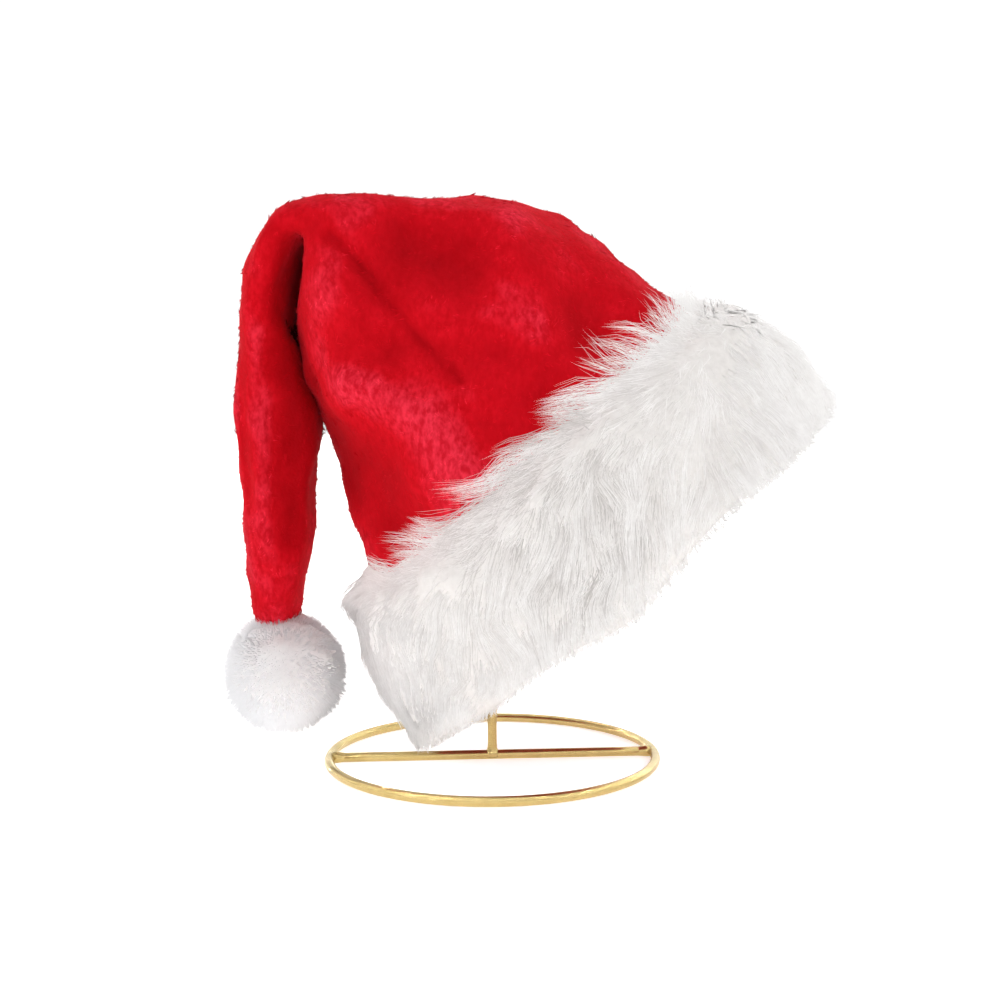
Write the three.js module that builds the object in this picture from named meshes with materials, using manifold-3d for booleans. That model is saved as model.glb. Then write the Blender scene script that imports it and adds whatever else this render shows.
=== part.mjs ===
// A plush Santa hat, leaning on a round wire display stand.
// Millimetres, +Z up. The origin is the middle of the stand's base, on the surface that it stands on.
// The hat's front faces -Y. It leans towards -X, where its tail folds over and hangs down to a pompom.
import * as THREE from "three";
import { mergeVertices } from "three/addons/utils/BufferGeometryUtils.js";
import Module from "manifold-3d";

const wasm = await Module();
wasm.setup();

// Driving dimensions
const CLOTH = 3; // plush cloth with its pile
const GAP = 0.5; // clearance between pieces that touch
const BASE_DIAMETER = 160; // outside of the stand's ring
const WIRE_DIAMETER = 4.5;
const WIRE_SIDES = 8;
const BASE_SEGMENTS = 48;
const CROSSBAR_TURN = THREE.MathUtils.degToRad(3); // the crossbar's angle to X
const KNOB_DIAMETER = 26; // rounded top of the post, which carries the crown from inside
const FUR_THICKNESS = 18; // fur band's depth off the cloth at the front
const FUR_EXTRA = 1.5; // more than that at the right end, and as much less at the left
const LOCK_RELIEF = 3.5; // how far the locks stand out of the fur's dense part
const POMPOM_DIAMETER = 59;
const POMPOM_CENTRE = new THREE.Vector3(-98.6, 0, 44);

const ROUND_STEPS = 32; // points round each section of the hat
const ROW_STEPS = 2; // stations of the crown's outside for each row of its table
const BALL_DETAIL = 3; // times that the pompom's ball is subdivided
const WELD_DISTANCE = 1e-3; // points closer than this are one point

// The crown from its rim to the tip of its tail, one row for each section.
// outer and inner are the section's two edges in the middle plane, as x and z: outer runs up the right
// side, along the top and down the tail's left side, and inner runs up the left side into the crease of
// the fold and down the tail's right side. depth is half the section's reach in Y, and square is the
// exponent of its outline, 2 for an ellipse and more for a flattened tube.
const CROWN_ROWS = [
  { name: "rim", outer: [143, 160], inner: [-30, 27], depth: 81, square: 2 },
  { name: "band_middle", outer: [120, 187], inner: [-43, 50], depth: 79, square: 2 },
  { name: "band_top", outer: [94.5, 211.5], inner: [-56, 84], depth: 76, square: 2 },
  { name: "lower_crown", outer: [70, 230], inner: [-64, 115], depth: 74, square: 2 },
  { name: "shoulder", outer: [46, 248.5], inner: [-71.5, 145], depth: 71, square: 2.05 },
  { name: "peak", outer: [21.5, 261], inner: [-79.5, 168], depth: 68, square: 2.15 },
  { name: "post_top", outer: [-1, 264], inner: [-85.5, 189.5], depth: 66, square: 2.3 },
  { name: "saddle", outer: [-23, 263], inner: [-87, 206.5], depth: 64, square: 2.5 },
  { name: "bulge", outer: [-45, 262], inner: [-83.5, 221], depth: 62, square: 2.8 },
  { name: "fold_start", outer: [-65, 263], inner: [-81, 232.5], depth: 59, square: 3 },
  { name: "fold_top", outer: [-84, 260], inner: [-80, 239.5], depth: 56, square: 3 },
  { name: "fold_corner", outer: [-98, 252], inner: [-82.5, 242.5], depth: 53, square: 3 },
  { name: "fold_side", outer: [-105.5, 238], inner: [-85.5, 239], depth: 51, square: 3 },
  { name: "tail_top", outer: [-110.5, 219], inner: [-88, 225.5], depth: 47, square: 2.9 },
  { name: "tail_upper", outer: [-114.5, 191], inner: [-89.5, 200], depth: 41, square: 2.7 },
  { name: "tail_middle", outer: [-118, 161], inner: [-83, 163], depth: 34, square: 2.4 },
  { name: "tail_lower", outer: [-117, 127], inner: [-82, 127], depth: 28, square: 2.2 },
  { name: "tail_neck", outer: [-115.5, 92], inner: [-86.5, 92], depth: 20, square: 2.1 },
  { name: "tip", outer: [-114, 68], inner: [-91.5, 68], depth: 13, square: 2 },
];
const BAND_TOP_ROW = 2; // the fur band covers the crown from its rim to this row
const TIP_ROW = CROWN_ROWS.length - 1;
const LOWER_CROWN_ROW = 3; // the post's top is looked for from this row to the next one
const FOLD_START_ROW = 9;

// Soft folds pressed into the crown's two faces, each along a line in the middle plane.
// height is how far the cloth stands out there, negative for a dent, and width is half the fold's breadth.
const FOLDS = [
  { name: "seam", face: "front", from: [-70, 235], to: [-7, 173], width: 7, height: -4 },
  { name: "saddle_dent", face: "front", from: [-31, 239], to: [-13, 226], width: 18, height: -8 },
  { name: "left_bulge", face: "front", from: [-65, 213], to: [-59, 187], width: 16, height: 7 },
  { name: "hanging_fold", face: "front", from: [-70, 175], to: [-22, 133], width: 12, height: 6 },
  { name: "under_fold", face: "front", from: [-66, 151], to: [-42, 110], width: 12, height: -7 },
  { name: "peak_ridge", face: "front", from: [7, 250], to: [22, 209], width: 12, height: 4 },
  { name: "right_dent", face: "front", from: [40, 217], to: [51, 200], width: 13, height: -6 },
  { name: "tail_crease", face: "front", from: [-100, 203], to: [-96, 122], width: 7, height: -4 },
  { name: "rear_seam", face: "back", from: [-68, 238], to: [8, 160], width: 8, height: -4 },
  { name: "rear_bulge", face: "back", from: [-68, 206], to: [-55, 180], width: 17, height: 6 },
  { name: "rear_dent", face: "back", from: [-26, 236], to: [-4, 222], width: 17, height: -7 },
  { name: "rear_fold", face: "back", from: [-64, 166], to: [-6, 124], width: 13, height: 5 },
  { name: "rear_hollow", face: "back", from: [34, 222], to: [50, 196], width: 15, height: -6 },
  { name: "rear_tail_crease", face: "back", from: [-100, 200], to: [-97, 112], width: 7, height: -4 },
];

// Outline of the fur's dense part across the band. share runs from the rim, 0, to the band's upper edge,
// 1, and is negative below the rim. height is a share of the fur's thickness.
const FUR_OUTLINE = [
  { share: -0.14, height: 0.12 },
  { share: -0.12, height: 0.72 },
  { share: 0.05, height: 0.98 },
  { share: 0.45, height: 1.04 },
  { share: 0.82, height: 0.94 },
  { share: 0.97, height: 0.55 },
  { share: 1.02, height: 0.15 },
];

// Locks of the fur band, in rows round it. A lock runs from the share head to the share tip, and further
// by hang at the hat's low side. drift is how far it leans to that side on the way, in radians.
const LOCK_ROWS = [
  { name: "lower", head: 0.62, tip: -0.19, hang: 0.12, count: 29, width: 21, drift: 0.26 },
  { name: "upper", head: 1.2, tip: 0.3, hang: 0, count: 29, width: 21, drift: 0.2 },
];
const LOCK_PROFILE = [
  { along: 0, width: 0.08, thick: 0.3 },
  { along: 0.2, width: 0.7, thick: 0.85 },
  { along: 0.5, width: 1, thick: 1 },
  { along: 0.82, width: 0.75, thick: 1 },
  { along: 1, width: 0.08, thick: 0.4 },
];
const LOCK_SINK = 3; // how deep a lock's foot is sunk in the dense part
const LOCK_UNEVEN = 0.05; // how far a lock is shifted up or down the band, as a share of its width
const UNEVEN_TURN = 2.4; // how far that shift turns from one lock to the next, in radians
const FRINGE_HEIGHT = 2.2; // how far the fringe's locks lie off the cloth
const LOWEST_FUR = WIRE_DIAMETER + 1.5; // the longest locks end just above the crossbar
const TUFT_COUNT = 34; // blunt tufts that the pompom's outside is made of
const TUFT_RADIUS = 12;
const TUFT_RELIEF = 2; // how far a tuft stands out of the pompom's ball

// Colours and finishes
const plushRed = new THREE.MeshStandardMaterial({ color: 0xc8101f, roughness: 0.95, metalness: 0 });
const furWhite = new THREE.MeshStandardMaterial({ color: 0xf1efec, roughness: 0.95, metalness: 0 });
const pompomWhite = new THREE.MeshStandardMaterial({ color: 0xf4f4f6, roughness: 0.95, metalness: 0 });
const goldWire = new THREE.MeshStandardMaterial({ color: 0xd9b765, roughness: 0.3, metalness: 1 });

// Solids from meshes, and meshes from solids
function solidFrom(geometry) {
  const bare = new THREE.BufferGeometry();
  bare.setAttribute("position", geometry.getAttribute("position"));
  if (geometry.index) bare.setIndex(geometry.index);
  const merged = mergeVertices(bare, WELD_DISTANCE);
  return new wasm.Manifold(
    new wasm.Mesh({
      numProp: 3,
      vertProperties: new Float32Array(merged.attributes.position.array),
      triVerts: new Uint32Array(merged.index.array),
    }),
  );
}

function meshFrom(solid, name, material) {
  const made = solid.getMesh();
  const positions = new Float32Array(made.numVert * 3);
  for (let i = 0; i < made.numVert; i++) {
    const start = i * made.numProp;
    positions.set(made.vertProperties.subarray(start, start + 3), i * 3);
  }
  const geometry = new THREE.BufferGeometry();
  geometry.setAttribute("position", new THREE.BufferAttribute(positions, 3));
  geometry.setIndex(new THREE.BufferAttribute(new Uint32Array(made.triVerts), 1));
  geometry.computeVertexNormals();
  const mesh = new THREE.Mesh(geometry, material);
  mesh.name = name;
  return mesh;
}

function fuse(solids) {
  return solids.reduce((whole, next) => whole.add(next));
}

// A closed skin over rows of points, each row a loop. Where the rows themselves close, the last row
// joins the first; otherwise each end is capped with a fan to the middle of its row. Each patch is
// split along its shorter diagonal, so that two skins laid over each other are split alike.
function loft(rows, rowsClose) {
  const points = rows.flat();
  const around = rows[0].length;
  const faces = [];
  const joins = rowsClose ? rows.length : rows.length - 1;
  for (let row = 0; row < joins; row++) {
    const below = row * around;
    const above = ((row + 1) % rows.length) * around;
    for (let i = 0; i < around; i++) {
      const next = (i + 1) % around;
      const [a, b, c, d] = [below + i, below + next, above + next, above + i];
      const rising = points[a].distanceTo(points[c]) < points[b].distanceTo(points[d]);
      faces.push(...(rising ? [a, b, c, a, c, d] : [a, b, d, b, c, d]));
    }
  }
  if (!rowsClose) {
    const lastStart = (rows.length - 1) * around;
    const caps = [
      { start: 0, flip: true, row: rows[0] },
      { start: lastStart, flip: false, row: rows[rows.length - 1] },
    ];
    for (const cap of caps) {
      const middle = new THREE.Vector3();
      cap.row.forEach((point) => middle.addScaledVector(point, 1 / around));
      points.push(middle);
      for (let i = 0; i < around; i++) {
        const edge = [cap.start + i, cap.start + ((i + 1) % around)];
        if (cap.flip) edge.reverse();
        faces.push(...edge, points.length - 1);
      }
    }
  }
  const geometry = new THREE.BufferGeometry().setFromPoints(points);
  geometry.setIndex(faces);
  return geometry;
}

// The crown's skin
const crownTable = new THREE.CubicInterpolant(
  CROWN_ROWS.map((row, index) => index),
  CROWN_ROWS.flatMap((row) => [...row.outer, ...row.inner, row.depth, row.square]),
  6,
);

function foldHeight(x, z, face) {
  let height = 0;
  for (const fold of FOLDS) {
    if (fold.face !== face) continue;
    const line = new THREE.Line3(new THREE.Vector3(...fold.from, 0), new THREE.Vector3(...fold.to, 0));
    const point = new THREE.Vector3(x, z, 0);
    const away = line.closestPointToPoint(point, true, new THREE.Vector3()).distanceTo(point);
    height += fold.height * Math.exp(-((away / fold.width) ** 2));
  }
  return height;
}

// A point of the crown at a station between its rows and an angle round its section, 0 at the outer
// edge and a quarter turn at the back. inset moves it into the cloth.
function crownPoint(station, angle, inset = 0) {
  const [outerX, outerZ, innerX, innerZ, depth, square] = crownTable.evaluate(station);
  const outer = new THREE.Vector2(outerX, outerZ);
  const inner = new THREE.Vector2(innerX, innerZ);
  const half = outer.distanceTo(inner) / 2;
  const rounded = (value) => Math.sign(value) * Math.abs(value) ** (2 / square);
  const across = rounded(Math.cos(angle)) * (half - inset);
  const outwards = rounded(Math.sin(angle));
  const place = outer.clone().add(inner).multiplyScalar(0.5);
  place.addScaledVector(outer.clone().sub(inner).normalize(), across);
  const front = outwards < 0;
  const fold = foldHeight(place.x, place.y, front ? "front" : "back") * Math.abs(outwards);
  const reach = Math.abs(outwards) * (depth - inset) + fold;
  return new THREE.Vector3(place.x, front ? -reach : reach, place.y);
}

const SMALL_STEP = 0.02; // for slopes, in stations, radians or shares of a length

function crownNormal(station, angle) {
  const below = Math.max(0, station - SMALL_STEP);
  const along = crownPoint(station + SMALL_STEP, angle).sub(crownPoint(below, angle));
  const round = crownPoint(station, angle + SMALL_STEP).sub(crownPoint(station, angle - SMALL_STEP));
  return round.cross(along).normalize();
}

const ROUND_ANGLES = Array.from({ length: ROUND_STEPS }, (_, i) => (2 * Math.PI * i) / ROUND_STEPS);
const STATIONS = Array.from({ length: TIP_ROW * ROW_STEPS + 1 }, (_, i) => i / ROW_STEPS);

// The inner skin has one station for each row, and stops short of the tip by the cloth's thickness.
const rowLength = crownPoint(TIP_ROW, 0).distanceTo(crownPoint(TIP_ROW - 1, 0));
const INNER_STATIONS = CROWN_ROWS.map((row, index) => Math.min(index, TIP_ROW - CLOTH / rowLength));

function crownSolid() {
  const outside = STATIONS.map((station) => ROUND_ANGLES.map((angle) => crownPoint(station, angle)));
  const inside = INNER_STATIONS.map((station) =>
    ROUND_ANGLES.map((angle) => crownPoint(station, angle, CLOTH)),
  );
  return solidFrom(loft([...inside.reverse(), ...outside], false));
}

// The fur band: a dense ring round the crown with locks fused to it
const rimLine = new THREE.Vector3(
  CROWN_ROWS[0].outer[0] - CROWN_ROWS[0].inner[0],
  0,
  CROWN_ROWS[0].outer[1] - CROWN_ROWS[0].inner[1],
);
const hatAxis = new THREE.Vector3(-rimLine.z, 0, rimLine.x).normalize();
const down = new THREE.Vector3(0, 0, -1);
const bandWidth = crownPoint(0, Math.PI / 2).distanceTo(crownPoint(BAND_TOP_ROW, Math.PI / 2));

// The way that fur hangs below the rim: along the hat at the right end, and straight down at the left.
function hangWay(angle) {
  return down.clone().lerp(hatAxis.clone().negate(), (1 + Math.cos(angle)) / 2).normalize();
}

// A point of the fur at a share of the band's width and a height off the cloth.
function furPoint(share, angle, height) {
  const station = Math.max(share, 0) * BAND_TOP_ROW;
  const point = crownPoint(station, angle).addScaledVector(crownNormal(station, angle), height);
  return point.addScaledVector(hangWay(angle), Math.max(-share, 0) * bandWidth);
}

// Height off the cloth for a share of the fur's thickness.
function furHeight(height, angle) {
  return GAP + height * (FUR_THICKNESS + FUR_EXTRA * Math.cos(angle) - LOCK_RELIEF);
}

function furRingSolid() {
  const outside = FUR_OUTLINE.map(({ share, height }) =>
    ROUND_ANGLES.map((angle) => furPoint(share, angle, furHeight(height, angle))),
  );
  const seat = STATIONS.filter((station) => station <= BAND_TOP_ROW).map((station) =>
    ROUND_ANGLES.map((angle) => furPoint(station / BAND_TOP_ROW, angle, GAP)),
  );
  const hem = ROUND_ANGLES.map((angle) => furPoint(FUR_OUTLINE[0].share, angle, GAP));
  return solidFrom(loft([...outside, ...seat.reverse(), hem], true));
}

// A tapered strip with a three-sided section, its ridge outwards. spine gives the middle of the strip's
// foot for a share of its length, and outwards the way that its ridge faces there.
function lockSolid(spine, outwards, width, thickness) {
  const rings = LOCK_PROFILE.map(({ along, width: breadth, thick }) => {
    const place = spine(along);
    const heading = spine(along + SMALL_STEP).sub(spine(along - SMALL_STEP)).normalize();
    const side = new THREE.Vector3().crossVectors(heading, outwards(along)).normalize();
    const ridge = new THREE.Vector3().crossVectors(side, heading);
    return [
      place.clone().addScaledVector(side, (breadth * width) / 2),
      place.clone().addScaledVector(ridge, thick * thickness),
      place.clone().addScaledVector(side, (-breadth * width) / 2),
    ];
  });
  for (const point of rings.flat()) point.z = Math.max(point.z, LOWEST_FUR);
  return solidFrom(loft(rings.reverse(), false));
}

// Heights that the locks follow: the dense part's, without the turned-in edge under the rim.
const lockPath = FUR_OUTLINE.slice(1);
const lockHeights = new THREE.LinearInterpolant(
  lockPath.map((row) => row.share),
  lockPath.map((row) => row.height),
  1,
);

function bandLocks() {
  return LOCK_ROWS.flatMap((row, rowIndex) =>
    Array.from({ length: row.count }, (_, i) => {
      const start = (2 * Math.PI * (i + 0.5 * rowIndex)) / row.count;
      const uneven = LOCK_UNEVEN * Math.sin(UNEVEN_TURN * i + rowIndex);
      const angleAt = (along) => start + row.drift * Math.sin(start) * (along - 0.5);
      const tip = row.tip - (row.hang * (1 - Math.cos(start))) / 2;
      const shareAt = (along) => THREE.MathUtils.lerp(row.head, tip, along) + uneven;
      const spine = (along) => {
        const [share, angle] = [shareAt(along), angleAt(along)];
        const surface = furHeight(lockHeights.evaluate(share)[0], angle);
        return furPoint(share, angle, Math.max(surface - LOCK_SINK, FRINGE_HEIGHT));
      };
      const outwards = (along) => crownNormal(Math.max(shareAt(along), 0) * BAND_TOP_ROW, angleAt(along));
      return lockSolid(spine, outwards, row.width, LOCK_SINK + LOCK_RELIEF);
    }),
  );
}

function furBandSolid() {
  return fuse([furRingSolid(), ...bandLocks()]);
}

// The pompom: blunt tufts round a dense ball, with a seat for the tip of the tail
function pompomSolid() {
  const radius = POMPOM_DIAMETER / 2;
  const ball = new THREE.IcosahedronGeometry(radius - TUFT_RELIEF, BALL_DETAIL);
  ball.translate(...POMPOM_CENTRE.toArray());
  const goldenAngle = Math.PI * (3 - Math.sqrt(5));
  const tufts = Array.from({ length: TUFT_COUNT }, (_, i) => {
    const height = 1 - (2 * i + 1) / TUFT_COUNT;
    const level = Math.sqrt(1 - height * height);
    const turn = goldenAngle * i;
    const heading = new THREE.Vector3(level * Math.cos(turn), level * Math.sin(turn), height);
    const tuft = new THREE.IcosahedronGeometry(TUFT_RADIUS);
    const place = heading.multiplyScalar(radius - TUFT_RADIUS).add(POMPOM_CENTRE);
    return tuft.translate(...place.toArray());
  });
  const seat = STATIONS.filter((station) => station >= TIP_ROW - 1).map((station) =>
    ROUND_ANGLES.map((angle) => crownPoint(station, angle, -GAP)),
  );
  seat.push(seat[seat.length - 1].map((point) => point.clone().setZ(point.z - GAP)));
  return fuse([solidFrom(ball), ...tufts.map(solidFrom)]).subtract(solidFrom(loft(seat, false)));
}

// The stand: ring, crossbar, post and rounded top, soldered into one frame
const wireRadius = WIRE_DIAMETER / 2;
const flatTurn = Math.PI / WIRE_SIDES; // turns the wire's section so that a flat lies on the surface
const wireHeight = wireRadius * Math.cos(flatTurn);
const SEARCH_STEP = 0.04; // for the knob's height, in stations and in radians

// The highest the knob can stand inside the crown without touching it. The cloth's own facets lie a
// little inside its true curve, so one more gap is left for them.
function knobCentreHeight() {
  const clear = KNOB_DIAMETER / 2 + GAP;
  let height = Infinity;
  for (let station = LOWER_CROWN_ROW; station <= FOLD_START_ROW; station += SEARCH_STEP) {
    for (let angle = -Math.PI / 2; angle <= Math.PI / 2; angle += SEARCH_STEP) {
      const wall = crownPoint(station, angle, CLOTH + GAP);
      const sideways = Math.hypot(wall.x, wall.y);
      if (sideways < clear) height = Math.min(height, wall.z - Math.sqrt(clear ** 2 - sideways ** 2));
    }
  }
  return height;
}

function standSolid() {
  const ringRadius = BASE_DIAMETER / 2 - wireRadius;
  const section = Array.from({ length: WIRE_SIDES + 1 }, (_, i) => {
    const turn = flatTurn + (2 * Math.PI * i) / WIRE_SIDES - Math.PI / 2;
    return new THREE.Vector2(
      ringRadius + wireRadius * Math.cos(turn),
      wireHeight + wireRadius * Math.sin(turn),
    );
  });
  const ring = new THREE.LatheGeometry(section, BASE_SEGMENTS);
  ring.rotateX(Math.PI / 2);

  const crossbar = new THREE.CylinderGeometry(wireRadius, wireRadius, 2 * ringRadius, WIRE_SIDES);
  crossbar.rotateY(flatTurn);
  crossbar.rotateZ(Math.PI / 2);
  crossbar.rotateZ(CROSSBAR_TURN);
  crossbar.translate(0, 0, wireHeight);

  const top = knobCentreHeight();
  const post = new THREE.CylinderGeometry(wireRadius, wireRadius, top - wireHeight, WIRE_SIDES);
  post.rotateX(Math.PI / 2);
  post.translate(0, 0, (top + wireHeight) / 2);

  const knob = new THREE.SphereGeometry(KNOB_DIAMETER / 2, 2 * WIRE_SIDES, WIRE_SIDES);
  knob.rotateX(Math.PI / 2);
  knob.translate(0, 0, top);
  return fuse([ring, crossbar, post, knob].map(solidFrom));
}

const santaHat = new THREE.Group();
santaHat.name = "santa_hat_on_stand";
santaHat.add(
  meshFrom(crownSolid(), "crown", plushRed),
  meshFrom(furBandSolid(), "fur_band", furWhite),
  meshFrom(pompomSolid(), "pompom", pompomWhite),
  meshFrom(standSolid(), "stand", goldWire),
);

export default santaHat;
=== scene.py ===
"""Looks of a plush Santa hat on a round wire stand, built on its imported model.
Metres, +Z up, front to -Y, as in the model."""
import math
from collections import namedtuple

import bmesh
import bpy
import numpy as np
from mathutils import Matrix, Vector
from mathutils.bvhtree import BVHTree
from mathutils.kdtree import KDTree


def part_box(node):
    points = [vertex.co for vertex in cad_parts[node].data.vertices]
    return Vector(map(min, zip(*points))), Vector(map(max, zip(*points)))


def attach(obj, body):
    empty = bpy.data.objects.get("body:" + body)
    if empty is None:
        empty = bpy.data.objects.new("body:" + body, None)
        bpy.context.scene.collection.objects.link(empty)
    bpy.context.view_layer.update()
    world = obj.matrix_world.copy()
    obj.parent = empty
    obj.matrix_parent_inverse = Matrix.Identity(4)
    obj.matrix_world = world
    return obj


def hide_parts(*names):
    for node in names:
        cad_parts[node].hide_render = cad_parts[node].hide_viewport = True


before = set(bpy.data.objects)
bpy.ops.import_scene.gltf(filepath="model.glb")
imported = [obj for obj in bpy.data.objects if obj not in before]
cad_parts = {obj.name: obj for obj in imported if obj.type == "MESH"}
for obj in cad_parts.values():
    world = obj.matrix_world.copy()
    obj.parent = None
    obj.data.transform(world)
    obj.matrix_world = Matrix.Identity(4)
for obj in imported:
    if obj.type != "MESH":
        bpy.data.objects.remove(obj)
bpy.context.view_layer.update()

MM = 0.001
FULL_TURN = 2 * math.pi
SEED = 24
draw = np.random.default_rng(SEED)

Noise = namedtuple("Noise", ["size", "seed", "height"])
Bulge = namedtuple("Bulge", ["place", "reach", "height"])
Fold = namedtuple("Fold", ["line", "width", "height"])
Sun = namedtuple("Sun", ["name", "place", "strength", "breadth"])

# Camera, fitted to the photograph
CAMERA_PLACE = Vector((0, -0.6055, 0.1595))
CAMERA_AIM = Vector((0.0044, 0, 0.1246))
CAMERA_ROLL = math.radians(-0.34)
CAMERA_LENS = 45.956
CAMERA_SENSOR = 36
CAMERA_NEAR = 0.01

# Studio
AMBIENT = 0.12  # the white surroundings' own light on the object
SURROUND = 1.06  # how bright they look in the picture and in the polished wire
FLOOR_RADIUS = 30
FLOOR_SIDES = 96
FLOOR_GLOW = 0.6  # the floor is a lit table, so that shadows on it stay faint
LIGHT_BOUNCES = 6
# Broad soft boxes all round, as suns some degrees wide
SUNS = [
    Sun("key", (-0.35, -0.55, 1.0), 0.42, 60),
    Sun("fill", (0, -1, 0.12), 0.12, 40),
    Sun("top", (0, 0, 1), 1.0, 140),
    Sun("right", (1, 0.05, 0.3), 1.7, 130),
    Sun("left", (-1, 0.05, 0.3), 1.82, 130),
    Sun("rear", (0.2, 1, 0.4), 0.9, 130),
]

# Colours, as places on a ramp with their red, green and blue
WHITE = (1, 1, 1)
PLUSH_SMOOTHED = [(0.33, (0.755, 0.0165, 0.038)), (0.67, (0.865, 0.0265, 0.0555))]
PLUSH_RUFFLED = [(0.36, (0.65, 0.011, 0.027)), (0.64, (0.945, 0.043, 0.081))]
PLUSH_ROOT_SHADE = [(0, (0.74, 0.6, 0.62)), (0.9, WHITE)]  # painted shade, darkest at the pile's roots and gone at its tips
PLUSH_RELIEF_SHADE = [  # painted shade in dents, to a painted highlight on ridges
    (0, (0.52, 0.1, 0.145)),
    (0.15, (0.6, 0.12, 0.17)),
    (0.6, (0.83, 0.225, 0.295)),
    (1, WHITE),
]
PLUSH_SHEEN = (1, 0.1, 0.14, 1)
LINING_RED = [(0.35, (0.36, 0.01, 0.02)), (0.65, (0.5, 0.02, 0.035))]
FUR_WHITE = [(0.3, (0.81, 0.79, 0.776)), (0.7, (0.915, 0.898, 0.888))]
POMPOM_WHITE = [(0.3, (0.83, 0.83, 0.845)), (0.7, (0.9, 0.9, 0.915))]
FUR_ROOT_SHADE = [(0, (0.55, 0.53, 0.515)), (0.3, (0.77, 0.753, 0.74)), (0.8, WHITE)]
GOLD = [(0.35, (0.5, 0.37, 0.14)), (0.65, (0.57, 0.435, 0.18))]
GOLD_ROUGHNESS = (0.19, 0.26)
FLOOR_WHITE = [(0.3, (0.95, 0.95, 0.95)), (0.7, (0.97, 0.97, 0.97))]

# The hat's rim, as the two ends of its middle line, and the fur band on it
RIM_RIGHT = np.array((0.143, 0, 0.160))
RIM_LEFT = np.array((-0.030, 0, 0.027))
BAND_WIDTH = 62.5 * MM  # from the rim to the band's upper edge, at the front
BAND_WIDTH_EXTRA = 5.5 * MM  # more than that at the right end, and as much less at the left
RIM_REACH = (0.109, 0.081)  # half the rim's length and half its depth
LEFT_NARROWING = 0.161  # the crown's left side comes in by this share of its reach over the band's width
FUR_THICKNESS = 18 * MM
FUR_THICKNESS_EXTRA = 1.5 * MM  # more than that at the right end, and as much less at the left
RIGHT_END_EXTRA = 3.5 * MM  # and more again close to the right end
RIGHT_END_POWER = 4  # how close that is
HEM_DROP = 0.1  # the fur hangs below the rim by this share of the band's width, at the front
HEM_DROP_EXTRA = 0.075  # more than that at the left end, and as much less at the right
LEFT_BREADTH = 0.08  # how much of the turn the left end takes, as one more than the cosine of the angle
LEFT_WIDENING = 10 * MM  # the band is wider at the left end, and hangs down all over it
# A lock stands out there, with a notch below it, by their shares of the width
LEFT_LOCKS = [Bulge(0.86, 0.085, 7.5 * MM), Bulge(0.66, 0.09, -3 * MM)]

# Waves of the hem at the front, by their angles, as shares of the band's width
HEM_WAVES = [Bulge(4.71, 0.24, 0.085), Bulge(5.2, 0.3, -0.075), Bulge(4.1, 0.22, -0.05)]
# Ripples of the hem all round: how many there are, and where they start in radians
HEM_RIPPLES = [
    {"count": 5, "start": 1, "drop": 0.012},
    {"count": 11, "start": 2, "drop": 0.01},
]

# Outside of the fur across the band: share of its width from the rim, and share of the fur's thickness
FUR_OUTLINE = {
    "share": (-0.3, -0.12, 0.05, 0.45, 0.82, 0.97, 1.05, 1.3),
    "height": (0.4, 0.78, 0.98, 1.04, 0.94, 0.6, 0.36, 0.3),
}

# The fur's backing, which is its dense part
BACKING_SHARE = 0.8  # of the fur's thickness
SHOULDER = (0.8, 1.05)  # between these shares of the width the backing is rounded down to the cloth
BACKING_AROUND = 192
BACKING_ROWS = {"outside": 28, "inside": 8}
BACKING_LEAST = 1 * MM
BACKING_GAP = 0.2 * MM  # between its inside and the cloth
BACKING_LUMPS = [Noise(14 * MM, 61, 0.9 * MM), Noise(40 * MM, 62, 0.8 * MM)]

# How the fur lies
WHORL = np.array((0.0915, -0.085, 0.172))  # the fur parts here, at the front's right
WHORL_REACH = 34 * MM
WHORL_PUSH = 0.8  # how hard fur is pushed away from there
WHORL_LIFT = 0.6  # the share of its weight that it loses there
FUR_TURNS = [Noise(50 * MM, 52, 0.22), Noise(17 * MM, 53, 0.16)]  # in radians
FRINGE_SHARES = (0.76, 1.0)  # between these the fur turns from hanging to lying over the cloth
FRINGE_MIXING = 0.04  # and this much sooner or later, by chance
FRINGE_WAY = {"up": 0.62, "left": 0.6, "round": 0.4}  # where it goes, once it lies over the cloth
FRINGE_CALM = 0.8  # it turns this share less than the rest
FRINGE_END_LOSS = 0.5  # and is this share shorter at the band's two ends
SIDE_SHIFT = 0.5  # where the fringe at the right end turns from the front's side to the back's
SIDE_MIXING = 0.3  # how far round the two sides mix there
SIDE_SHARPNESS = 4
ROOT_SINK = 1.5 * MM  # strands start this far inside the backing
CLOTH_GAP = 0.3 * MM  # and keep this far from the cloth
RISE_END = 0.8  # they have risen to the fur's outside at this share of their length
HEM_OVERHANG = 0.03  # and end this share of the band's width below the hem

# How the fur is shaded, with painted shade at its roots and between its locks
FUR_SOFTNESS = 0.85
DENSE_TIP = 0.35  # painted shade of the fur's dense part: as dark as its strands are this far along
LOCK_BORDER = (0.7, 1.5)  # a lock's border, in medians of the distance from its middle
LOCK_SINK = 0.1  # strands at the border of a lock lie this share lower
LOCK_SHADE = 0.85  # and get painted shade, darker by this share of the way to the colour of their roots
LOCK_EVEN = 0.15  # how much of that is left at the band's two ends and along its hem
LOCK_HEM = 0.3  # the part of the band's width over which it comes in from the hem
END_TONE = 0.58  # the painted shade of roots where the fur isn't parted into locks
SKYWARD = 0.85  # fur is shaded as if it faced up by this much, since light comes through it from above
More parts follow.
